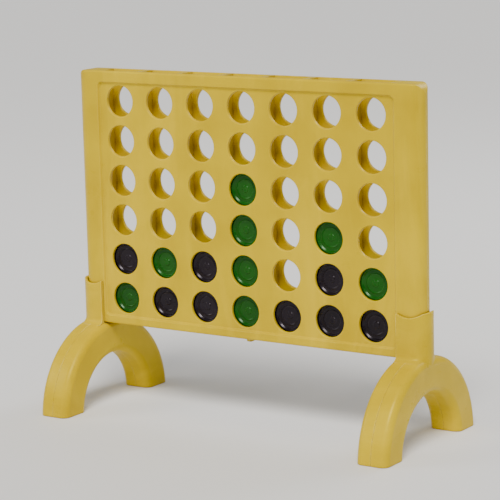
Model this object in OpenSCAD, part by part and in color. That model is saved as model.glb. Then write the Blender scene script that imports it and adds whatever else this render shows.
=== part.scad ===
// Four in a row: an upright grid of two snapped panels on two arch legs,
// with drop-in counters and a release bar that slides under the columns.
// Millimetres, +Z up, the front faces -Y, the origin is on the floor at the centre.

/* [Counters] */
// Diameter of a counter
counter_d = 23.7; // [20:0.1:29]
// Thickness of a counter
counter_t = 8; // [6:0.5:10]
// Radial width of the flat rim around each face
rim_w = 2.6; // [1.5:0.1:4]
// Depth of the dished face inside the rim
dish_depth = 0.9; // [0.3:0.1:1.5]
// Diameter of the raised stud in the middle of each face
stud_d = 4.4; // [3:0.1:7]
// Chamfer on the edge of a counter
edge_chamfer = 0.6; // [0.2:0.1:1]

/* [Grid] */
// Room on each side of a counter in its column
side_clear = 0.55; // [0.3:0.05:1]
// Room in front of and behind a counter
face_clear = 0.5; // [0.3:0.05:1]
// Gap between a counter and what it stands on
stack_gap = 0.3; // [0.1:0.05:0.5]
// Thickness of the ribs between columns
rib_t = 4; // [1.2:0.1:6]
// Thickness of the plates that carry the holes
plate_t = 2.2; // [1.5:0.1:3.5]
// Diameter of the viewing holes
hole_d = 18.8; // [14:0.1:19]
// Depth of the lead-in at the top of each column
lead_in = 3; // [1:0.5:5]

/* [Border] */
// Width of the upright at each end, outside the grid
border_w = 17; // [13:0.1:22]
// Height of the border above the top holes
top_margin = 8.6; // [8:0.1:15]
// Step from the border's face down to the grid's face
border_step = 1.3; // [0.6:0.1:2]
// Radius of the two top corners
corner_r = 6; // [3:0.5:7]
// Corner radius of the stepped grid field
field_r = 3; // [1:0.5:4]
// Wall thickness of the hollow uprights
border_wall = 2.2; // [1.5:0.1:3]

/* [Release bar] */
// Thickness of the bar
bar_t = 2.5; // [2:0.1:4]
// Width of each land that a counter stands on
land_w = 2; // [1.5:0.1:3]
// How far each rail of the bar runs into its panel
rail_lap = 1.5; // [1:0.1:2]
// Thickness of the ledges that carry the bar
ledge_t = 1.5; // [1.2:0.1:3]
// Running clearance around the bar
slide_clear = 0.15; // [0.05:0.05:0.3]
// Length of the finger tab below the frame
tab_drop = 2.5; // [2:0.5:10]

/* [Legs] */
// Outer radius of the arch
arch_r = 53; // [44:0.5:64]
// Height of the arch's crown above the floor
arch_h = 51; // [45:0.5:62]
// Radial depth of the leg's section
leg_depth = 21; // [16:0.5:24]
// Width of the leg along the frame
leg_w = 20; // [17:0.5:26]
// Corner radius of the leg's section
leg_r = 4.5; // [3:0.5:6]
// Wall thickness of the leg shells
leg_wall = 2.2; // [1.5:0.1:3]

/* [Sleeves] */
// Height of the sleeve above the seat
sleeve_h = 26.5; // [15:0.5:40]
// Wall thickness of the sleeve
sleeve_wall = 2; // [1.5:0.1:3]
// Clearance between the frame's end and the sleeve
sleeve_clear = 0.3; // [0.1:0.05:0.5]
// Room between the grid field and the sleeve's open edge
sleeve_setback = 1.9; // [1:0.1:3]
// Depth of the thumb scallop in the sleeve's top edge
scallop_depth = 2.5; // [0:0.5:5]

/* [Locating pegs] */
// Diameter of the pegs that join each pair of shells
peg_d = 3; // [2:0.1:4]
// Clearance of a peg in its socket, across the diameter
peg_clear = 0.1; // [0.05:0.05:0.2]
// Length of a peg past the joint
peg_l = 4; // [2:0.5:5]
// Wall around a socket
boss_wall = 1.9; // [1.2:0.1:2.5]

/* [Hidden] */
$fn = 72;
columns = 7;
rows = 6;
// Counters in each column from the bottom up: G is green and B is black.
held = ["GB", "BG", "BB", "GGGG", "B", "BBG", "BG"];
overrun = 1;       // how far a cutting solid runs past the face that it opens
socket_slack = 1;  // depth of a socket beyond the end of its peg
crown_flat = 0.5;  // how much the arch's crown is flattened under the frame
arc_steps = 8;

// Grid, across the frame
slot_w = counter_d + 2 * side_clear;
pitch = slot_w + rib_t;
field_x = columns * pitch / 2;
slot_x = field_x - rib_t / 2;
half_w = field_x + border_w;

// Grid, through the frame
slot_y = counter_t / 2 + face_clear;
grid_y = slot_y + plate_t;
frame_y = grid_y + border_step;
nose_x = half_w - frame_y;

// Levels, from the floor up
arch_z = arch_h - arch_r;  // height of the arch's centre, which may lie below the floor
seat_z = arch_h - crown_flat;
bar_z = seat_z + ledge_t + slide_clear;
bar_top = bar_z + bar_t;
groove_top = bar_top + slide_clear;
row_step = counter_d + stack_gap;
first_row_z = bar_top + stack_gap + counter_d / 2;
top_z = first_row_z + (rows - 1) * row_step + hole_d / 2 + top_margin;
field_low = (groove_top + first_row_z - hole_d / 2) / 2;
field_high = top_z - corner_r - field_r / 2;

// Release bar
bar_y = slot_y + rail_lap;
bar_x = (columns - 1) / 2 * pitch + land_w / 2;
window_y = slot_y - face_clear / 5;
travel = pitch / 2;
tab_r = 2;

// Legs
sleeve_y = frame_y + sleeve_clear;
sleeve_out_y = sleeve_y + sleeve_wall;
leg_out_x = nose_x + sleeve_out_y;
split_x = leg_out_x - leg_w / 2;
sleeve_x = field_x + sleeve_setback;
sleeve_top = seat_z + sleeve_h;
scallop_r = 14;
post_root = seat_z - crown_flat - leg_wall - 4;
boss_d = peg_d + peg_clear + 2 * boss_wall;
peg_angles = [25, 90, 155];
upright_peg_x = (slot_x + nose_x + frame_y) / 2;
upright_peg_z = [seat_z + 14, (seat_z + top_z) / 2, top_z - 16];

function column_x(i) = (i - (columns - 1) / 2) * pitch;
function row_z(j) = first_row_z + j * row_step;
function colour_name(letter) = letter == "G" ? "green" : "black";
function counter_name(i, j) = str(colour_name(held[i][j]), "_counter_column", i + 1, "_row", j + 1);
function arc_points(cx, cy, r, from, to) = [
    for (k = [0 : arc_steps])
        let (a = from + (to - from) * k / arc_steps)
        [cx + r * cos(a), cy + r * sin(a)]
];

// A cylinder that runs along Y from y0 to y1.
module rod_y(r, y0, y1) {
    translate([0, y1, 0])
        rotate([90, 0, 0])
            cylinder(r = r, h = y1 - y0);
}

// A box from one corner to the other.
module span(low, high) {
    translate(low)
        cube(high - low);
}

// A plate with rounded corners in X and Z, from y0 to y1.
module rounded_plate(x, z0, z1, r, y0, y1) {
    span([-x, y0, z0 + r], [x, y1, z1 - r]);
    span([-x + r, y0, z0], [x - r, y1, z1]);
    for (sx = [-1, 1], z = [z0 + r, z1 - r])
        translate([sx * (x - r), 0, z])
            rod_y(r, y0, y1);
}

// The frame's plan: a bar with round ends, grown outwards by `grow`.
module frame_plan(grow, z0, z1) {
    span([-nose_x, -frame_y - grow, z0], [nose_x, frame_y + grow, z1]);
    for (sx = [-1, 1])
        translate([sx * nose_x, 0, z0])
            cylinder(r = frame_y + grow, h = z1 - z0);
}

// The outside of one panel: the front half of the frame with rounded top corners.
module panel_blank() {
    intersection() {
        frame_plan(0, seat_z, top_z);
        union() {
            span([-half_w, -frame_y, seat_z], [half_w, 0, top_z - corner_r]);
            span([-half_w + corner_r, -frame_y, seat_z], [half_w - corner_r, 0, top_z]);
            for (sx = [-1, 1])
                translate([sx * (half_w - corner_r), 0, top_z - corner_r])
                    rod_y(corner_r, -frame_y, 0);
        }
    }
}

// The room that the counters fall through, column by column, with its lead-in.
module column_slots() {
    for (i = [0 : columns - 1])
        translate([column_x(i), 0, 0]) {
            span([-slot_w / 2, -slot_y, groove_top - overrun], [slot_w / 2, overrun, top_z + overrun]);
            translate([slot_w / 2, 0, top_z])
                rotate([90, 0, -90])
                    linear_extrude(slot_w)
                        polygon([
                            [0, -lead_in], [slot_y, -lead_in],
                            [slot_y + plate_t, overrun], [0, overrun]
                        ]);
        }
}

// The holes that show the counters.
module viewing_holes() {
    for (i = [0 : columns - 1], j = [0 : rows - 1])
        translate([column_x(i), 0, row_z(j)])
            rod_y(hole_d / 2, -frame_y - overrun, 0);
}

// The groove for the release bar, and the way out below the columns.
module bar_groove() {
    stop_x = bar_x + slide_clear;
    span([-stop_x, -bar_y - slide_clear, seat_z + ledge_t], [stop_x + travel, overrun, groove_top]);
    span([-slot_x, -slot_y, seat_z - overrun], [slot_x, overrun, groove_top]);
}

// The hollow inside each upright.
module upright_hollows() {
    inner_x = slot_x + border_wall;
    inner_y = frame_y - border_wall;
    low = groove_top + border_wall;
    high = top_z - corner_r;
    for (sx = [-1, 1])
        mirror([sx > 0 ? 0 : 1, 0, 0])
            intersection() {
                frame_plan(-border_wall, low, high);
                span([inner_x, -inner_y, low], [half_w, overrun, high]);
            }
}

// Places its children at the joint face of every upright peg.
module at_upright_pegs() {
    for (sx = [-1, 1], z = upright_peg_z)
        translate([sx * upright_peg_x, 0, z])
            children();
}

// One half of the frame, on the front side, with its peg bosses.
module half_frame() {
    difference() {
        panel_blank();
        rounded_plate(field_x, field_low, field_high, field_r, -frame_y - overrun, -grid_y);
        column_slots();
        viewing_holes();
        bar_groove();
        difference() {
            upright_hollows();
            at_upright_pegs()
                rod_y(boss_d / 2, -frame_y, overrun);
        }
    }
}

module front_panel() {
    color("gold")
        difference() {
            half_frame();
            at_upright_pegs()
                rod_y((peg_d + peg_clear) / 2, -peg_l - socket_slack, overrun);
        }
}

module rear_panel() {
    color("gold") {
        mirror([0, 1, 0])
            half_frame();
        at_upright_pegs()
            rod_y(peg_d / 2, -peg_l, overrun);
    }
}

// The bar under the columns: a land below each counter, and windows between the lands.
module release_bar() {
    color("goldenrod")
        difference() {
            union() {
                span([-bar_x, -bar_y, bar_z], [bar_x, bar_y, bar_top]);
                finger_tab();
            }
            for (i = [0 : columns - 2])
                translate([column_x(i) + pitch / 2, 0, 0])
                    span([-(pitch - land_w) / 2, -window_y, bar_z - overrun],
                         [(pitch - land_w) / 2, window_y, bar_top + overrun]);
        }
}

// The tab that a finger pushes, hanging from the middle land.
module finger_tab() {
    low = seat_z - tab_drop;
    span([-land_w / 2, -window_y, low + tab_r], [land_w / 2, window_y, bar_z + overrun]);
    span([-land_w / 2, -window_y + tab_r, low], [land_w / 2, window_y - tab_r, bar_z]);
    for (sy = [-1, 1])
        translate([-land_w / 2, sy * (window_y - tab_r), low + tab_r])
            rotate([0, 90, 0])
                cylinder(r = tab_r, h = land_w);
}

// Half of the leg's section as [radius, depth] points, inset from the outside all round.
function half_section(inset, joint) = let (
    near = arch_r - leg_depth + inset,
    far = arch_r - inset,
    out = leg_w / 2 - inset,
    r = leg_r - inset
) concat(
    [[near, joint], [far, joint]],
    arc_points(far - r, out - r, r, 0, 90),
    arc_points(near + r, out - r, r, 90, 180)
);

// The half section swept over the arch and cut level at each foot.
// Where the arch's centre is above the floor, straight feet carry it on down.
module arch_sweep(inset, joint) {
    points = half_section(inset, joint);
    intersection() {
        translate([0, 0, arch_z])
            rotate([90, 0, 90])
                rotate_extrude(angle = 180)
                    polygon(points);
        span([joint - overrun, -arch_r - overrun, inset], [leg_w, arch_r + overrun, arch_h + overrun]);
    }
    if (arch_z > inset)
        for (sy = [-1, 1])
            translate([0, 0, inset])
                linear_extrude(arch_z - inset)
                    polygon([for (p = points) [p[1], sy * p[0]]]);
}

// Places its children on the joint face of a leg, at each peg.
module at_leg_pegs() {
    for (a = peg_angles)
        translate([0, (arch_r - leg_depth / 2) * cos(a), arch_z + (arch_r - leg_depth / 2) * sin(a)])
            rotate([0, 90, 0])
                children();
}

// One hollow leg shell with its bosses, from the joint face at X = 0 outwards.
module leg_shell() {
    difference() {
        arch_sweep(0, 0);
        difference() {
            arch_sweep(leg_wall, -overrun);
            at_leg_pegs()
                translate([0, 0, -2 * overrun])
                    cylinder(d = boss_d, h = leg_w);
        }
    }
}

// The room that the frame's end takes inside the sleeve.
module frame_end_room() {
    frame_plan(sleeve_clear, seat_z, top_z);
}

// The sleeve around the right end of the frame, with a scallop in its top edge.
module sleeve() {
    difference() {
        union() {
            intersection() {
                frame_plan(sleeve_clear + sleeve_wall, post_root, sleeve_top);
                span([split_x, -sleeve_out_y, post_root], [leg_out_x, sleeve_out_y, seat_z]);
            }
            intersection() {
                frame_plan(sleeve_clear + sleeve_wall, seat_z, sleeve_top);
                span([sleeve_x, -sleeve_out_y, seat_z], [leg_out_x, sleeve_out_y, sleeve_top]);
            }
        }
        translate([split_x, 0, sleeve_top + scallop_r - scallop_depth])
            rod_y(scallop_r, -sleeve_out_y - overrun, sleeve_out_y + overrun);
    }
}

// The right leg's outer shell: half of the arch, the sleeve and three pegs.
module outer_shell() {
    color("gold") {
        difference() {
            union() {
                translate([split_x, 0, 0])
                    leg_shell();
                difference() {
                    sleeve();
                    translate([split_x, 0, 0])
                        arch_sweep(leg_wall, -overrun);
                }
            }
            frame_end_room();
        }
        translate([split_x, 0, 0])
            at_leg_pegs()
                translate([0, 0, -peg_l])
                    cylinder(d = peg_d, h = peg_l + overrun);
    }
}

// The right leg's inner shell: the other half of the arch, with three sockets.
module inner_shell() {
    color("gold")
        difference() {
            translate([split_x, 0, 0])
                mirror([1, 0, 0])
                    leg_shell();
            translate([split_x, 0, 0])
                at_leg_pegs()
                    translate([0, 0, -peg_l - socket_slack])
                        cylinder(d = peg_d + peg_clear, h = peg_l + socket_slack + overrun);
            frame_end_room();
        }
}

module left_leg_outer_shell() {
    mirror([1, 0, 0])
        outer_shell();
}

module left_leg_inner_shell() {
    mirror([1, 0, 0])
        inner_shell();
}

module right_leg_outer_shell() {
    outer_shell();
}

module right_leg_inner_shell() {
    inner_shell();
}

// Half of a counter's section: a flat rim, a dished face and a raised stud in the middle.
function counter_section() = let (
    r = counter_d / 2,
    h = counter_t / 2,
    dish_r = r - edge_chamfer - rim_w,
    floor_h = h - dish_depth,
    stud_r = stud_d / 2,
    side = [
        [0, h - dish_depth / 2], [stud_r - edge_chamfer / 2, h - dish_depth / 2],
        [stud_r, floor_h], [dish_r - dish_depth, floor_h], [dish_r, h],
        [r - edge_chamfer, h], [r, h - edge_chamfer]
    ]
) concat(side, [for (k = [len(side) - 1 : -1 : 0]) [side[k][0], -side[k][1]]]);

module counter(i, j) {
    color(held[i][j] == "G" ? "darkgreen" : "black")
        translate([column_x(i), 0, row_z(j)])
            rotate([90, 0, 0])
                rotate_extrude()
                    polygon(counter_section());
}

front_panel();
rear_panel();
release_bar();
left_leg_outer_shell();
left_leg_inner_shell();
right_leg_outer_shell();
right_leg_inner_shell();
for (i = [0 : columns - 1], j = [0 : len(held[i]) - 1])
    counter(i, j);
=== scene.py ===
import bmesh
import bpy
import math
from mathutils import Matrix, Quaternion, Vector


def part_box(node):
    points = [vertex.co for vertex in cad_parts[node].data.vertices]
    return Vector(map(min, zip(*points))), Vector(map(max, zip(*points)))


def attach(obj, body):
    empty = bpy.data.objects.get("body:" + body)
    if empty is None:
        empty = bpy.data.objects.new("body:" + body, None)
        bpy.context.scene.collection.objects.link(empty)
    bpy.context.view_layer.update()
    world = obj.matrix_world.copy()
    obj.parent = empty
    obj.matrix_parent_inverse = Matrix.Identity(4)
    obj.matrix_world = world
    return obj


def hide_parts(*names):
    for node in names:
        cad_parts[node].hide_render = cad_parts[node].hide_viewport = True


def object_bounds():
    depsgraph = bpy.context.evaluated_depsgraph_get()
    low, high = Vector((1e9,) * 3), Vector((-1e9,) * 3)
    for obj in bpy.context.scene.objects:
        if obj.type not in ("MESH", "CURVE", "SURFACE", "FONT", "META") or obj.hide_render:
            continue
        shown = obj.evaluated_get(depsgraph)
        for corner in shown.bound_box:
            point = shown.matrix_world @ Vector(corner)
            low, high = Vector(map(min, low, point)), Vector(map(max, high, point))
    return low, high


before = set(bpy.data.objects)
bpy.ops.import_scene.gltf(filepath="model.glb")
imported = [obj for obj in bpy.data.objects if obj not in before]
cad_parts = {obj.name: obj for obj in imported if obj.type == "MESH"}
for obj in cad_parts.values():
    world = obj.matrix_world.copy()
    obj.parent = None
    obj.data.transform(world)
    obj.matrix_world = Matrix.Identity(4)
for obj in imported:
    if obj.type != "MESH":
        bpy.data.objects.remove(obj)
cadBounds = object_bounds()
print("frame loaded:", len(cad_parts), "nodes")


# what the frame says, in millimetres

def boxMm(node):
    low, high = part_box(node)
    return low * 1000, high * 1000


def centreMm(node):
    low, high = boxMm(node)
    return (low + high) / 2


def placeOf(node):
    column, row = node.split("_column")[1].split("_row")
    return int(column), int(row)


counterNodes = sorted(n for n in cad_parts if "_counter_" in n)
counterCentres = {placeOf(n): centreMm(n) for n in counterNodes}
columns, rows = 7, 6
pitch = (counterCentres[7, 1].x - counterCentres[1, 1].x) / (columns - 1)
rowStep = counterCentres[4, 2].z - counterCentres[4, 1].z
columnX = [counterCentres[1, 1].x + pitch * i for i in range(columns)]
rowZ = [counterCentres[1, 1].z + rowStep * j for j in range(rows)]
panelLow, panelHigh = boxMm("front_panel")
barLow, barHigh = boxMm("release_bar")
shellHigh = boxMm("right_leg_outer_shell")[1]
innerLow, innerHigh = boxMm("right_leg_inner_shell")
counterLow, counterHigh = boxMm("green_counter_column1_row1")


# shared mesh steps

def isVert(item):
    return isinstance(item, bmesh.types.BMVert)


def newVerts(result):
    return [g for g in result["geom"] if isVert(g)]


def extendEdges(bm, axis, start, stops):
    # pulls every boundary edge that lies on start out through the stops
    at = start
    for stop in stops:
        edges = [e for e in bm.edges if e.is_boundary
                 and all(abs(v.co[axis] - at) < 0.01 for v in e.verts)]
        for v in newVerts(bmesh.ops.extrude_edge_only(bm, edges=edges)):
            v.co[axis] = stop
        at = stop


def softEdges(bm, edges, offset, segments):
    bmesh.ops.bevel(bm, geom=edges, offset=offset, offset_type="OFFSET", segments=segments, profile=0.5,
                    affect="EDGES", clamp_overlap=True, material=-1)


def sharpEdges(bm, degrees, test=lambda e: True):
    limit = math.radians(degrees)
    return [e for e in bm.edges if e.is_manifold and e.calc_face_angle(0) > limit and test(e)]


def finishPiece(bm, name, node, body, material):
    bmesh.ops.remove_doubles(bm, verts=bm.verts, dist=0.004)
    bmesh.ops.recalc_face_normals(bm, faces=bm.faces)
    bmesh.ops.scale(bm, vec=(0.001, 0.001, 0.001), verts=bm.verts)
    for face in bm.faces:
        face.smooth = True
    mesh = bpy.data.meshes.new(name)
    bm.to_mesh(mesh)
    bm.free()
    mesh.set_sharp_from_angle(angle=math.radians(50))
    piece = bpy.data.objects.new(name, mesh)
    bpy.context.scene.collection.objects.link(piece)
    mesh.materials.append(material)
    weighted = piece.modifiers.new("evenShading", "WEIGHTED_NORMAL")
    weighted.keep_sharp = True
    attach(piece, body)
    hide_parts(node)


# materials

def nodeMaker(material):
    tree = material.node_tree

    def make(kind, settings=None, **inputs):
        node = tree.nodes.new(kind)
        for key, value in (settings or {}).items():
            setattr(node, key, value)
        for key, value in inputs.items():
            socket = node.inputs[int(key[1:])] if key[0] == "n" and key[1:].isdigit() else node.inputs[key]
            if isinstance(value, bpy.types.NodeSocket):
                tree.links.new(value, socket)
            else:
                socket.default_value = value
        return node
    return make


def rampOf(make, source, stops):
    ramp = make("ShaderNodeValToRGB", Fac=source)
    points = ramp.color_ramp.elements
    while len(points) < len(stops):
        points.new(0.5)
    for point, (at, colour) in zip(points, stops):
        point.position = at
        point.color = (*colour, 1)
    return ramp.outputs["Color"]


def grey(value):
    return (value, value, value)


def mouldedPlastic(name, look):
    # moulded plastic with cloudy colour, flow streaks, fine grain, rubbed edges, painted shade in seams and
    # tight corners, and hairline scratches
    material = bpy.data.materials.new(name)
    material.use_nodes = True
    tree = material.node_tree
    make = nodeMaker(material)
    shader = tree.nodes["Principled BSDF"]
    place = make("ShaderNodeTexCoord").outputs["Object"]

    # colour: slow clouds, then the streaks in which the plastic flowed
    clouds = make("ShaderNodeTexNoise", Vector=place, Scale=look["cloudScale"], Detail=3.0, Roughness=0.55)
    base = rampOf(make, clouds.outputs["Fac"], [(0.32, look["deep"]), (0.68, look["light"])])
    stretched = make("ShaderNodeMapping", Vector=place, Scale=look["streakStretch"])
    streaks = make("ShaderNodeTexNoise", Vector=stretched.outputs["Vector"], Scale=look["streakScale"],
                   Detail=5.0, Roughness=0.65, Distortion=0.8)
    streakMask = rampOf(make, streaks.outputs["Fac"],
                        [(0.48, grey(0.0)), (0.72, grey(look["streakAmount"]))])
    streaked = make("ShaderNodeMix", {"data_type": "RGBA"}, n0=streakMask, n6=base, n7=(*look["streak"], 1))

    # wear: edges where the rounded normal leaves the surface's own, broken up by a patchy noise
    normal = make("ShaderNodeNewGeometry").outputs["Normal"]
    rounded = make("ShaderNodeBevel", {"samples": 6}, Radius=look["rubWidth"])
    agree = make("ShaderNodeVectorMath", {"operation": "DOT_PRODUCT"}, n0=normal,
                 n1=rounded.outputs["Normal"])
    edge = rampOf(make, agree.outputs["Value"], [(0.93, grey(look["rubAmount"])), (0.995, grey(0.0))])
    patches = make("ShaderNodeTexNoise", Vector=place, Scale=look["patchScale"], Detail=4.0, Roughness=0.7)
    patchy = rampOf(make, patches.outputs["Fac"], [(0.38, grey(0.0)), (0.62, grey(1.0))])
    # ambient occlusion: keeps the wear to open edges and drives the painted shade in seams below
    near = make("ShaderNodeAmbientOcclusion", {"samples": 6}, Distance=look["occlusionReach"]).outputs["AO"]
    openness = rampOf(make, near, [(0.45, grey(0.0)), (0.7, grey(1.0))])
    patchyEdge = make("ShaderNodeMath", {"operation": "MULTIPLY"}, n0=edge, n1=patchy)
    rubMask = make("ShaderNodeMath", {"operation": "MULTIPLY"}, n0=patchyEdge.outputs[0], n1=openness)
    worn = make("ShaderNodeMix", {"data_type": "RGBA"}, n0=rubMask.outputs[0], n6=streaked.outputs[2],
                n7=(*look["rub"], 1))

    # painted shade: the colour is darkened in seams and tight corners, where ambient occlusion finds them
    # closed in, standing for the shadow that falls there
    paintedShadeMask = rampOf(make, near, [(0.22, grey(look["paintedShadeAmount"])), (0.6, grey(0.0))])
    baseWithPaintedShade = make("ShaderNodeMix", {"data_type": "RGBA"}, n0=paintedShadeMask, n6=worn.outputs[2],
                  n7=(*look["paintedShadeColour"], 1))
    tree.links.new(baseWithPaintedShade.outputs[2], shader.inputs["Base Color"])

    # gloss: smudges from handling, dull hairlines and dull worn edges
    smudges = make("ShaderNodeTexNoise", Vector=place, Scale=look["smudgeScale"], Detail=5.0, Roughness=0.65)
    hair = make("ShaderNodeMapping", Vector=place, Rotation=(0.3, 0.9, 0.5), Scale=(1.0, 1.0, 30.0))
    scratch = make("ShaderNodeTexNoise", Vector=hair.outputs["Vector"], Scale=look["scratchScale"],
                   Detail=2.0)
    scratchMask = rampOf(make, scratch.outputs["Fac"], [(0.645, grey(0.0)), (0.70, grey(1.0))])
    rough = rampOf(make, smudges.outputs["Fac"], [(0.32, grey(look["gloss"])), (0.7, grey(look["dull"]))])
    dulled = make("ShaderNodeMix", {"data_type": "FLOAT"}, n0=scratchMask, n2=rough, n3=look["scratched"])
    roughness = make("ShaderNodeMix", {"data_type": "FLOAT"}, n0=rubMask.outputs[0], n2=dulled.outputs[0],
                     n3=look["scratched"])
    tree.links.new(roughness.outputs[0], shader.inputs["Roughness"])

    # relief: fine grain, the slow waves of cooling, and the hairlines
    grain = make("ShaderNodeTexNoise", Vector=place, Scale=look["grainScale"], Detail=3.0, Roughness=0.6)
    grainBump = make("ShaderNodeBump", Strength=look["grainStrength"], Distance=look["grainHeight"],
                     Height=grain.outputs["Fac"])
    sink = make("ShaderNodeTexNoise", Vector=place, Scale=look["sinkScale"], Detail=1.0)
    sinkBump = make("ShaderNodeBump", Strength=look["sinkStrength"], Distance=look["sinkHeight"],
                    Height=sink.outputs["Fac"], Normal=grainBump.outputs["Normal"])
    scratchBump = make("ShaderNodeBump", {"invert": True}, Strength=look["scratchStrength"],
                       Distance=look["scratchDepth"], Height=scratchMask, Normal=sinkBump.outputs["Normal"])
    tree.links.new(scratchBump.outputs["Normal"], shader.inputs["Normal"])

    shader.inputs["IOR"].default_value = look["ior"]
    shader.inputs["Specular IOR Level"].default_value = look["shine"]
    shader.inputs["Specular Tint"].default_value = (*look["shineTint"], 1)
    shader.inputs["Subsurface Weight"].default_value = look["milkiness"]
    shader.inputs["Subsurface Radius"].default_value = look["milkRadius"]
    shader.inputs["Subsurface Scale"].default_value = look["milkScale"]
    return material


yellowLook = {
    "deep": (0.520, 0.352, 0.000), "light": (0.640, 0.450, 0.000), "cloudScale": 24.0,
    "streak": (0.720, 0.510, 0.012), "streakAmount": 0.7, "streakScale": 30.0,
    "streakStretch": (1.0, 1.0, 0.18),
    "rub": (0.800, 0.640, 0.170), "rubWidth": 0.0008, "rubAmount": 0.9, "patchScale": 90.0,
    # next line: the painted shade in seams and corners, with its colour, the reach of the occlusion that
    # finds them, and its strength
    "paintedShadeColour": (0.170, 0.075, 0.004), "occlusionReach": 0.004, "paintedShadeAmount": 0.85,
    "gloss": 0.27, "dull": 0.46, "smudgeScale": 45.0,
    "scratchScale": 60.0, "scratched": 0.6, "scratchStrength": 0.4, "scratchDepth": 0.00006,
    "grainScale": 1500.0, "grainStrength": 0.28, "grainHeight": 0.00007,
    "sinkScale": 50.0, "sinkStrength": 0.16, "sinkHeight": 0.0006,
    "ior": 1.5, "shine": 0.3, "shineTint": (1.0, 0.85, 0.25),
    "milkiness": 0.04, "milkRadius": (0.9, 0.55, 0.08), "milkScale": 0.0018,
}
legLook = dict(yellowLook, streakStretch=(0.4, 1.0, 1.0), streakScale=24.0, gloss=0.25, dull=0.44)
greenLook = dict(
    yellowLook, deep=(0.002, 0.050, 0.000), light=(0.004, 0.078, 0.001), streak=(0.015, 0.140, 0.009),
    streakAmount=0.35, streakStretch=(1.0, 1.0, 1.0), rub=(0.04, 0.22, 0.03), rubAmount=0.6,
    # the first colour on the next line is the painted shade in the counters' seams and corners
    paintedShadeColour=(0.001, 0.010, 0.000), gloss=0.16, dull=0.30, shine=0.25, shineTint=(0.7, 1.0, 0.7),
    milkiness=0.0,
)
blackLook = dict(
    yellowLook, deep=(0.002, 0.001, 0.002), light=(0.005, 0.002, 0.004), streak=(0.018, 0.014, 0.022),
    streakAmount=0.35, streakStretch=(1.0, 1.0, 1.0), rub=(0.06, 0.055, 0.07), rubAmount=0.6,
    # the first colour on the next line is the painted shade in the counters' seams and corners
    paintedShadeColour=(0.001, 0.001, 0.001), gloss=0.16, dull=0.30, shine=0.25, shineTint=(1.0, 0.9, 1.0),
    milkiness=0.0,
)
gridPlastic = mouldedPlastic("yellowGridPlastic", yellowLook)
legPlastic = mouldedPlastic("yellowLegPlastic", legLook)
barPlastic = mouldedPlastic("yellowBarPlastic", dict(yellowLook, streakStretch=(0.2, 1.0, 1.0)))
greenPlastic = mouldedPlastic("greenCounterPlastic", greenLook)
blackPlastic = mouldedPlastic("blackCounterPlastic", blackLook)
print("materials made")


# the two grid panels

panel = {
    "holeRadius": 9.4, "holeSteps": 12, "rimSoft": 0.6,
    "slotHalfWidth": 12.4, "slotHalfDepth": 4.5, "ribDraft": 0.1, "tileHalfHeight": 10.0,
    "plateFace": 6.7, "fieldBelow": 10.7, "fieldAbove": 10.5, "fieldCorner": 2.6, "ramp": 1.0,
    "topRound": 1.2, "bottomRound": 1.0, "cornerRadius": 6.0, "noseSteps": 11, "noseTurn": 86,
    "leadIn": 3.0, "leadInDepth": 1.4, "seam": 0.06, "barPlay": 0.15, "underBar": 1.5,
}
rib = pitch - 2 * panel["slotHalfWidth"]
fieldX = columns * pitch / 2
grooveEnd = barHigh.x + panel["barPlay"] + pitch / 2


def sideStart(i):
    return columnX[i] + panel["slotHalfWidth"]


def addTile(bm):
    # a square of plate around one hole, with evenly spaced corners to join its neighbours
    steps = panel["holeSteps"]
    halfWidth, halfHeight = panel["slotHalfWidth"], panel["tileHalfHeight"]
    ring = bmesh.ops.create_circle(bm, segments=4 * steps, radius=panel["holeRadius"])["verts"]
    bmesh.ops.rotate(bm, verts=ring, matrix=Matrix.Rotation(math.radians(90), 3, "X"))
    rim = list({e for v in ring for e in v.link_edges})
    for v in newVerts(bmesh.ops.extrude_edge_only(bm, edges=rim)):
        index = round(math.atan2(v.co.z, v.co.x) / math.radians(90 / steps)) % (4 * steps) + steps // 2
        side, along = index // steps % 4, index % steps / steps * 2 - 1
        corner = [(1, along), (-along, 1), (-1, -along), (along, -1)][side]
        v.co.x, v.co.z = corner[0] * halfWidth, corner[1] * halfHeight


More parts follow.
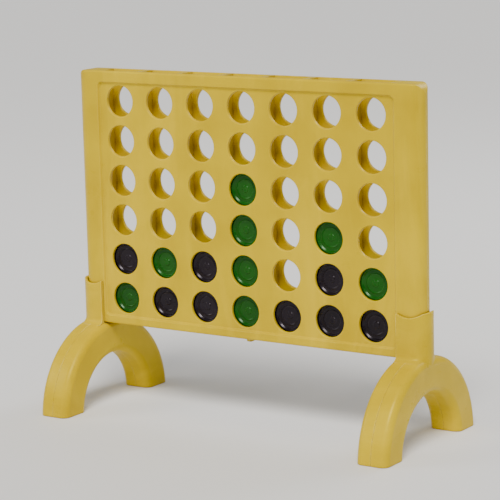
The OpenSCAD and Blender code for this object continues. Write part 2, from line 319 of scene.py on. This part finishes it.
def panelSheet(bm):
    # the whole panel as one flat sheet with 42 holes, and lines wherever its depth changes
    addTile(bm)
    tile = bm.verts[:] + bm.edges[:] + bm.faces[:]
    for x in columnX:
        for z in rowZ:
            copy = bmesh.ops.duplicate(bm, geom=tile)
            bmesh.ops.translate(bm, verts=newVerts(copy), vec=(x, 0, z))
    bmesh.ops.delete(bm, geom=[g for g in tile if isVert(g)], context="VERTS")
    draft = panel["ribDraft"]
    for i in range(columns - 1):
        start = sideStart(i)
        extendEdges(bm, 0, start, [start + draft, start + rib - draft, start + rib])
    nose = panelHigh.x - panelHigh.y + panelLow.y
    noseSteps = panel["noseSteps"]
    turns = [math.radians(panel["noseTurn"]) * k / noseSteps for k in range(1, noseSteps + 1)]
    outwards = [sideStart(columns - 1) + draft] + [fieldX - 0.9 + 0.3 * k for k in range(4)]
    outwards += [fieldX + panel["ramp"] * k / 4 for k in range(1, 5)]
    outwards += [grooveEnd, grooveEnd + draft, (grooveEnd + nose) / 2, nose]
    outwards += [nose + (panelHigh.x - nose) * math.sin(a) for a in turns]
    for sign in (1, -1):
        extendEdges(bm, 0, sign * sideStart(columns - 1), [sign * x for x in outwards])
    bmesh.ops.remove_doubles(bm, verts=bm.verts, dist=0.01)
    for j in range(rows - 1):
        extendEdges(bm, 2, rowZ[j] + panel["tileHalfHeight"], [rowZ[j + 1] - panel["tileHalfHeight"]])
    ramps = [panel["ramp"] * k / 4 for k in range(5)]
    arcs = [math.radians(22.5) * k for k in range(1, 5)]
    top, bottom = panelHigh.z, panelLow.z
    upwards = [rowZ[-1] + panel["fieldAbove"] + r for r in [-0.25] + ramps]
    upwards += [top - panel["cornerRadius"], (top - panel["cornerRadius"] + top - panel["leadIn"]) / 2]
    upwards += [top - panel["leadIn"], top - panel["topRound"]]
    upwards += [top - panel["topRound"] * (1 - math.sin(a)) for a in arcs]
    downwards = [rowZ[0] - panel["fieldBelow"] - r for r in [-0.35] + ramps]
    grooveTop, grooveFloor = barHigh.z + panel["barPlay"], bottom + panel["underBar"]
    downwards += [grooveTop + 0.05, grooveTop - 0.05, grooveFloor + 0.05, grooveFloor - 0.05]
    downwards += [bottom + panel["bottomRound"]]
    downwards += [bottom + panel["bottomRound"] * (1 - math.sin(a)) for a in arcs]
    extendEdges(bm, 2, rowZ[-1] + panel["tileHalfHeight"], upwards)
    extendEdges(bm, 2, rowZ[0] - panel["tileHalfHeight"], downwards)
    bmesh.ops.remove_doubles(bm, verts=bm.verts, dist=0.01)
    return nose, grooveTop, grooveFloor


def roundOff(distance, radius):
    # how far a rounded edge falls back at this distance from the rim
    if distance >= radius:
        return 0.0
    return radius - math.sqrt(max(radius ** 2 - (radius - max(distance, 0.0)) ** 2, 0.0))


def buildPanel(name, node, front):
    bm = bmesh.new()
    nose, grooveTop, grooveFloor = panelSheet(bm)
    faceY, slot = -panelLow.y, panel["slotHalfDepth"]
    top, bottom = panelHigh.z, panelLow.z
    frontVerts = bm.verts[:]
    backVerts = newVerts(bmesh.ops.extrude_face_region(bm, geom=bm.faces[:]))

    def faceDepth(x, z):
        corner = panel["fieldCorner"]
        aside = max(abs(x) - fieldX + corner, 0)
        beyond = max(rowZ[0] - panel["fieldBelow"] + corner - z,
                     z + corner - rowZ[-1] - panel["fieldAbove"], 0)
        t = min(max(math.hypot(aside, beyond) - corner, 0) / panel["ramp"], 1)
        depth = panel["plateFace"] + (faceY - panel["plateFace"]) * t * t * (3 - 2 * t)
        return depth - roundOff(top - z, panel["topRound"]) - roundOff(z - bottom, panel["bottomRound"])

    def backDepth(x, z):
        inSlot = min(abs(x - c) for c in columnX) < panel["slotHalfWidth"] + 0.01
        if z > grooveTop:
            if not inSlot:
                return panel["seam"]
            rise = max(z - (top - panel["leadIn"]), 0) / panel["leadIn"]
            return slot + panel["leadInDepth"] * rise
        if z > grooveFloor and abs(x) < grooveEnd + 0.01:
            return barHigh.y + panel["barPlay"]
        if z < grooveFloor and abs(x) < sideStart(columns - 1) + 0.01:
            return slot
        return panel["seam"]

    cornerX, cornerZ = panelHigh.x - panel["cornerRadius"], top - panel["cornerRadius"]
    for verts, depthAt in ((frontVerts, faceDepth), (backVerts, backDepth)):
        for v in verts:
            depth = depthAt(v.co.x, v.co.z)
            out = abs(v.co.x) - nose
            if out > 0:
                squeeze = math.sqrt(max(1 - (out / (panelHigh.x - nose)) ** 2, 0))
                depth = max(depth * squeeze, panel["seam"]) if verts is frontVerts else depth
            v.co.y = -depth
            over = abs(v.co.x) - cornerX
            if over > 0 and v.co.z > cornerZ:
                reach = math.sqrt(max(panel["cornerRadius"] ** 2 - over ** 2, 0))
                v.co.z = cornerZ + (v.co.z - cornerZ) * reach / panel["cornerRadius"]
    bmesh.ops.recalc_face_normals(bm, faces=bm.faces)

    def onRim(edge):
        def at(v):
            x = min(columnX, key=lambda c: abs(v.co.x - c))
            z = min(rowZ, key=lambda c: abs(v.co.z - c))
            return abs(math.hypot(v.co.x - x, v.co.z - z) - panel["holeRadius"]) < 0.02
        return abs(edge.verts[0].co.y - edge.verts[1].co.y) < 0.01 and all(at(v) for v in edge.verts)

    softEdges(bm, sharpEdges(bm, 60, onRim), panel["rimSoft"], 3)
    if not front:
        bmesh.ops.scale(bm, vec=(1, -1, 1), verts=bm.verts)
    finishPiece(bm, name, node, "frame", gridPlastic)


buildPanel("frontGrid", "front_panel", True)
buildPanel("rearGrid", "rear_panel", False)
print("grid panels made")


# the release bar

bar = {"land": 2.0, "thickness": 2.5, "windowHalfDepth": 4.4, "soft": 0.25, "tabRound": 2.0}


def buildBar():
    bm = bmesh.new()
    half, land = barHigh.x, bar["land"] / 2
    xs = [-half]
    for i in range(columns):
        xs += [columnX[i] - land, columnX[i] + land]
    xs = sorted({round(x, 4) for x in xs})
    ys = [-barHigh.y, -bar["windowHalfDepth"], bar["windowHalfDepth"], barHigh.y]
    grid = bmesh.ops.create_grid(bm, x_segments=len(xs) - 1, y_segments=len(ys) - 1, size=1)["verts"]
    wide = sorted({round(v.co.x, 5) for v in grid})
    deep = sorted({round(v.co.y, 5) for v in grid})
    for v in grid:
        v.co.x, v.co.y = xs[wide.index(round(v.co.x, 5))], ys[deep.index(round(v.co.y, 5))]
        v.co.z = barHigh.z
    windows = [f for f in bm.faces if abs(f.calc_center_median().y) < 1 and f.calc_area() > 40]
    bmesh.ops.delete(bm, geom=windows, context="FACES_ONLY")
    for v in newVerts(bmesh.ops.extrude_face_region(bm, geom=bm.faces[:])):
        v.co.z -= bar["thickness"]
    underMiddle = [f for f in bm.faces if abs(f.calc_center_median().x) < 0.1
                   and abs(f.calc_center_median().y) < 0.1
                   and abs(f.calc_center_median().z - (barHigh.z - bar["thickness"])) < 0.01]
    for v in newVerts(bmesh.ops.extrude_face_region(bm, geom=underMiddle)):
        v.co.z = barLow.z
    bmesh.ops.recalc_face_normals(bm, faces=bm.faces)
    corners = [e for e in bm.edges if all(abs(v.co.z - barLow.z) < 0.01 for v in e.verts)
               and abs(e.verts[0].co.y - e.verts[1].co.y) < 0.01]
    softEdges(bm, corners, bar["tabRound"], 5)
    softEdges(bm, sharpEdges(bm, 40), bar["soft"], 2)
    finishPiece(bm, "slidingBar", "release_bar", "release_bar", barPlastic)


buildBar()
print("release bar made")


# the two legs

leg = {
    "depth": 21.0, "cornerRadius": 4.5, "cornerSteps": 7, "seamSoft": 0.3, "archSteps": 64, "footRound": 1.1,
    "crownFlat": 0.5, "sleeveWall": 2.0, "sleeveOpenX": fieldX + 1.9, "sleeveInHalf": 8.3, "rootDepth": 6.0,
    "fillet": 3.2, "filletRows": 7, "filletStep": 0.5, "wallRows": (9.5, 19.5), "lipRow": 3, "noseSteps": 36,
    "scallopRadius": 14.0, "scallopDepth": 2.5, "lipSoft": 0.45, "tuckIn": 0.8, "tuckDown": 1.5,
}
seat = innerHigh.z                                   # the flat of the crown, which the frame stands on
crown = seat + leg["crownFlat"]
archRadius = (crown + shellHigh.y ** 2 / crown) / 2   # the circle through the crown and both feet
archCentre = crown - archRadius                       # just below the floor


def addArch(bm, nearX, farX, seamX):
    # one half of the arch, spun from a rounded profile and cut level at the floor
    profile = bmesh.ops.create_grid(bm, x_segments=1, y_segments=1, size=0.5)["verts"]
    for v in profile:
        v.co.x = nearX if v.co.x < 0 else farX
        v.co.y = archRadius - leg["depth"] if v.co.y < 0 else archRadius
        v.co.z = archCentre
    atSeam = [v for v in profile if abs(v.co.x - seamX) < 0.01]
    outside = [v for v in profile if abs(v.co.x - seamX) > 0.01]
    rounds = ((outside, leg["cornerRadius"], leg["cornerSteps"]), (atSeam, leg["seamSoft"], 2))
    for verts, offset, segments in rounds:
        bmesh.ops.bevel(bm, geom=verts, offset=offset, segments=segments, profile=0.5,
                        affect="VERTICES", material=-1)
    start = bm.verts[:] + bm.edges[:] + bm.faces[:]
    bmesh.ops.spin(bm, geom=start, cent=(0, 0, archCentre), axis=(1, 0, 0), angle=math.pi,
                   steps=leg["archSteps"], use_merge=False, use_duplicate=False)
    everything = bm.verts[:] + bm.edges[:] + bm.faces[:]
    bmesh.ops.bisect_plane(bm, geom=everything, plane_co=(0, 0, 0), plane_no=(0, 0, 1),
                           clear_inner=True, dist=0.001)
    bmesh.ops.holes_fill(bm, edges=[e for e in bm.edges if e.is_boundary])
    for v in bm.verts:
        v.co.z = min(v.co.z, seat)   # the crown is flat where the frame stands on it
    bmesh.ops.recalc_face_normals(bm, faces=bm.faces)
    soles = [e for e in sharpEdges(bm, 40) if all(abs(v.co.z) < 0.001 for v in e.verts)]
    softEdges(bm, soles, leg["footRound"], 3)


def archTop(x, y):
    # height of the leg's upper surface under a point of the sleeve
    radius = archRadius - roundOff(shellHigh.x - x, leg["cornerRadius"])
    return min(archCentre + math.sqrt(max(radius ** 2 - y ** 2, 0)), seat)


def addSleeve(bm):
    # the U-shaped wall round the frame's end, flared into the arch below and scalloped above
    nose, openX = shellHigh.x - leg["sleeveInHalf"] - leg["sleeveWall"], leg["sleeveOpenX"]
    inner, outer = leg["sleeveInHalf"], leg["sleeveInHalf"] + leg["sleeveWall"]
    root = seat - leg["rootDepth"]
    first = [bm.verts.new((openX, -outer, root)), bm.verts.new((openX, -inner, root))]
    across = bm.edges.new(first)
    before = set(bm.verts) - set(first)

    def pull(edge, xs):
        for x in xs:
            result = bmesh.ops.extrude_edge_only(bm, edges=[edge])
            for v in newVerts(result):
                v.co.x = x
            edge = [g for g in result["geom"] if isinstance(g, bmesh.types.BMEdge)
                    and all(abs(v.co.x - x) < 0.001 for v in g.verts)][0]
        return edge

    outSteps = [openX + (nose - openX) * k / 5 for k in range(1, 6)]
    across = pull(across, outSteps)
    spun = bmesh.ops.spin(bm, geom=across.verts[:] + [across], cent=(nose, 0, 0), axis=(0, 0, 1),
                          angle=math.pi, steps=leg["noseSteps"], use_merge=False, use_duplicate=False)
    across = [g for g in spun["geom_last"] if isinstance(g, bmesh.types.BMEdge)][0]
    pull(across, [nose + openX - x for x in outSteps])
    own = [v for v in bm.verts if v not in before]
    strip = list({f for v in own for f in v.link_faces})
    top = shellHigh.z
    lifted = newVerts(bmesh.ops.extrude_face_region(bm, geom=strip))
    for v in lifted:
        v.co.z = top
    own += lifted
    steps = leg["filletRows"]
    step = leg["filletStep"]
    levels = [root + step + k * step for k in range(steps + 1)]
    for z in levels + [seat + rise for rise in leg["wallRows"]] + [top - leg["lipRow"]]:
        geom = own + list({e for v in own for e in v.link_edges})
        geom += list({f for v in own for f in v.link_faces})
        cut = bmesh.ops.bisect_plane(bm, geom=geom, plane_co=(0, 0, z), plane_no=(0, 0, 1), dist=0.001)
        own += [g for g in cut["geom_cut"] if isVert(g)]
    scallopZ = top + leg["scallopRadius"] - leg["scallopDepth"]
    for v in own:
        x, y, z = v.co
        if abs(z - top) < 0.001 and abs(x - innerHigh.x) < leg["scallopRadius"]:
            dip = scallopZ - math.sqrt(leg["scallopRadius"] ** 2 - (x - innerHigh.x) ** 2)
            v.co.z = min(top, dip)
        spread = abs(y) if x < nose else math.hypot(x - nose, y)
        if spread > outer - 0.1 and z < levels[-1] + 0.01:
            out = Vector((0, math.copysign(1, y))) if x < nose else Vector((x - nose, y)) / outer
            reach = leg["fillet"]
            if out.x > 0.001:
                reach = min(reach, (shellHigh.x - x) / out.x)
            foot = Vector((x, y)) + out * reach
            wallZ, footZ = archTop(x, y), archTop(foot.x, foot.y) - 0.03
            t = 1 - max(z - levels[0], 0) / (levels[-1] - levels[0])
            a, b, c = (1 - t) ** 2, 2 * t * (1 - t), t * t
            spot = Vector((x, y)) * (a + b) + foot * c
            v.co = (spot.x, spot.y, a * (wallZ + reach) + b * wallZ + c * footZ)
            if z < levels[0] - 0.01:    # the last ring is tucked inside the arch
                tucked = Vector((x, y)) - out * leg["tuckIn"]
                v.co = (tucked.x, tucked.y, footZ - leg["tuckDown"])
    bmesh.ops.recalc_face_normals(bm, faces=list({f for v in own for f in v.link_faces}))
    lip = [e for e in sharpEdges(bm, 50) if all(v.co.z > top - leg["scallopDepth"] - 0.2 for v in e.verts)]
    softEdges(bm, lip, leg["lipSoft"], 3)


def buildShell(name, node, body, side, outer):
    bm = bmesh.new()
    seamX = innerHigh.x
    if outer:
        addArch(bm, seamX, shellHigh.x, seamX)
        addSleeve(bm)
    else:
        addArch(bm, innerLow.x, seamX, seamX)
    if side < 0:
        bmesh.ops.scale(bm, vec=(-1, 1, 1), verts=bm.verts)
    finishPiece(bm, name, node, body, legPlastic)


for sideName, side in (("left", -1), ("right", 1)):
    body = sideName + "_leg"
    buildShell(sideName + "LegOuter", body + "_outer_shell", body, side, True)
    buildShell(sideName + "LegInner", body + "_inner_shell", body, side, False)
print("legs made")


# the counters

counter = {
    "steps": 72, "rim": 2.6, "chamfer": 0.6, "dish": 0.9, "bank": 0.9,
    "ringRadius": 5.6, "ringHalf": 0.5, "ringRise": 0.25, "stud": 2.2, "studRise": 0.45, "studSlope": 0.3,
    "dimple": 0.9, "dimpleRise": 0.2, "soft": 0.18,
}


def counterOutline():
    # half of the section as (radius, height) pairs from the middle of one face to the rim
    radius, height = (counterHigh.x - counterLow.x) / 2, (counterHigh.y - counterLow.y) / 2
    floor = height - counter["dish"]
    dishEdge = radius - counter["chamfer"] - counter["rim"]
    ring, half = counter["ringRadius"], counter["ringHalf"]
    return [
        (0, floor + counter["dimpleRise"]), (counter["dimple"], floor + counter["studRise"]),
        (counter["stud"] - counter["studSlope"], floor + counter["studRise"]),
        (counter["stud"], floor), (ring - half, floor), (ring - half / 2, floor + counter["ringRise"]),
        (ring + half / 2, floor + counter["ringRise"]), (ring + half, floor),
        (dishEdge - counter["bank"], floor), (dishEdge, height),
        (radius - counter["chamfer"], height), (radius, height - counter["chamfer"]),
    ]


def buildCounter(node):
    bm = bmesh.new()
    outline = counterOutline()
    points = outline + [(r, -h) for r, h in reversed(outline)]
    verts = [bm.verts.new((r, h, 0)) for r, h in points]
    for a, b in zip(verts, verts[1:]):
        bm.edges.new((a, b))
    bmesh.ops.spin(bm, geom=bm.verts[:] + bm.edges[:], cent=(0, 0, 0), axis=(0, 1, 0),
                   angle=2 * math.pi, steps=counter["steps"], use_merge=True, use_duplicate=False)
    bmesh.ops.remove_doubles(bm, verts=bm.verts, dist=0.001)
    bmesh.ops.recalc_face_normals(bm, faces=bm.faces)
    softEdges(bm, sharpEdges(bm, 20, lambda e: min(math.hypot(v.co.x, v.co.z) for v in e.verts) > 1.5),
              counter["soft"], 2)
    column, row = placeOf(node)
    turn = math.radians(37 * column + 71 * row)     # each counter has landed at its own angle
    bmesh.ops.rotate(bm, verts=bm.verts, matrix=Matrix.Rotation(turn, 3, "Y"))
    bmesh.ops.translate(bm, verts=bm.verts, vec=counterCentres[column, row])
    colour = node.split("_")[0]
    material = greenPlastic if colour == "green" else blackPlastic
    name = f"{colour}Counter_c{column}_r{row}"
    finishPiece(bm, name, node, node, material)


for node in counterNodes:
    buildCounter(node)
print("counters made:", len(counterNodes))


# floor, light and camera

studio = {
    "floorColour": (0.82, 0.81, 0.79), "floorRoughness": 0.6, "floorSize": 60.0,
    "worldColour": (0.93, 0.95, 1.0), "worldStrength": 0.36,
    "warm": (1.0, 0.98, 0.95), "cool": (0.97, 0.98, 1.0), "sunAngle": 24, "sunStrength": 3.5,
    "lampSize": 0.6, "lampPower": 5.0, "nearClip": 0.05,
    "azimuth": 33.5, "elevation": 10.5, "distance": 1.25, "lens": 154.0, "roll": -1.4,
}


def buildFloor():
    bm = bmesh.new()
    bmesh.ops.create_grid(bm, x_segments=2, y_segments=2, size=studio["floorSize"] / 2)
    mesh = bpy.data.meshes.new("floor")
    bm.to_mesh(mesh)
    bm.free()
    floor = bpy.data.objects.new("floor", mesh)
    bpy.context.scene.collection.objects.link(floor)
    material = bpy.data.materials.new("paleFloor")
    material.use_nodes = True
    shader = material.node_tree.nodes["Principled BSDF"]
    shader.inputs["Base Color"].default_value = (*studio["floorColour"], 1)
    shader.inputs["Roughness"].default_value = studio["floorRoughness"]
    mesh.materials.append(material)


def addLight(name, kind, place, size, power, colour, target):
    data = bpy.data.lights.new(name, kind)
    if kind == "SUN":
        data.angle = size
    else:
        data.shape = "DISK"
        data.size = size
    data.energy = power
    data.color = colour
    light = bpy.data.objects.new(name, data)
    bpy.context.scene.collection.objects.link(light)
    light.location = place
    light.rotation_mode = "QUATERNION"
    light.rotation_quaternion = (Vector(target) - Vector(place)).to_track_quat("-Z", "Y")


def buildStudio():
    buildFloor()
    world = bpy.data.worlds.new("softRoom")
    bpy.context.scene.world = world
    world.use_nodes = True
    background = world.node_tree.nodes["Background"]
    background.inputs["Color"].default_value = (*studio["worldColour"], 1)
    background.inputs["Strength"].default_value = studio["worldStrength"]
    centre = (cadBounds[0] + cadBounds[1]) / 2
    warm, cool, size, power = studio["warm"], studio["cool"], studio["lampSize"], studio["lampPower"]
    sunAngle = math.radians(studio["sunAngle"])
    addLight("broadLight", "SUN", (0.45, -0.9, 1.25), sunAngle, studio["sunStrength"], warm, (0, 0, 0))
    addLight("leftLight", "AREA", (-1.1, -0.8, 0.7), size, power, warm, centre)
    addLight("backLight", "AREA", (0.3, 1.0, 0.9), size, power, cool, centre)
    around, above = math.radians(studio["azimuth"]), math.radians(studio["elevation"])
    away = Vector((math.sin(around) * math.cos(above), -math.cos(around) * math.cos(above), math.sin(above)))
    camera = bpy.data.objects.new("camera", bpy.data.cameras.new("camera"))
    bpy.context.scene.collection.objects.link(camera)
    bpy.context.scene.camera = camera
    camera.data.lens = studio["lens"]
    camera.data.clip_start = studio["nearClip"]
    camera.location = centre + away * studio["distance"]
    camera.rotation_mode = "QUATERNION"
    level = (-away).to_track_quat("-Z", "Y")
    camera.rotation_quaternion = level @ Quaternion((0, 0, 1), math.radians(studio["roll"]))


buildStudio()
print("studio made")
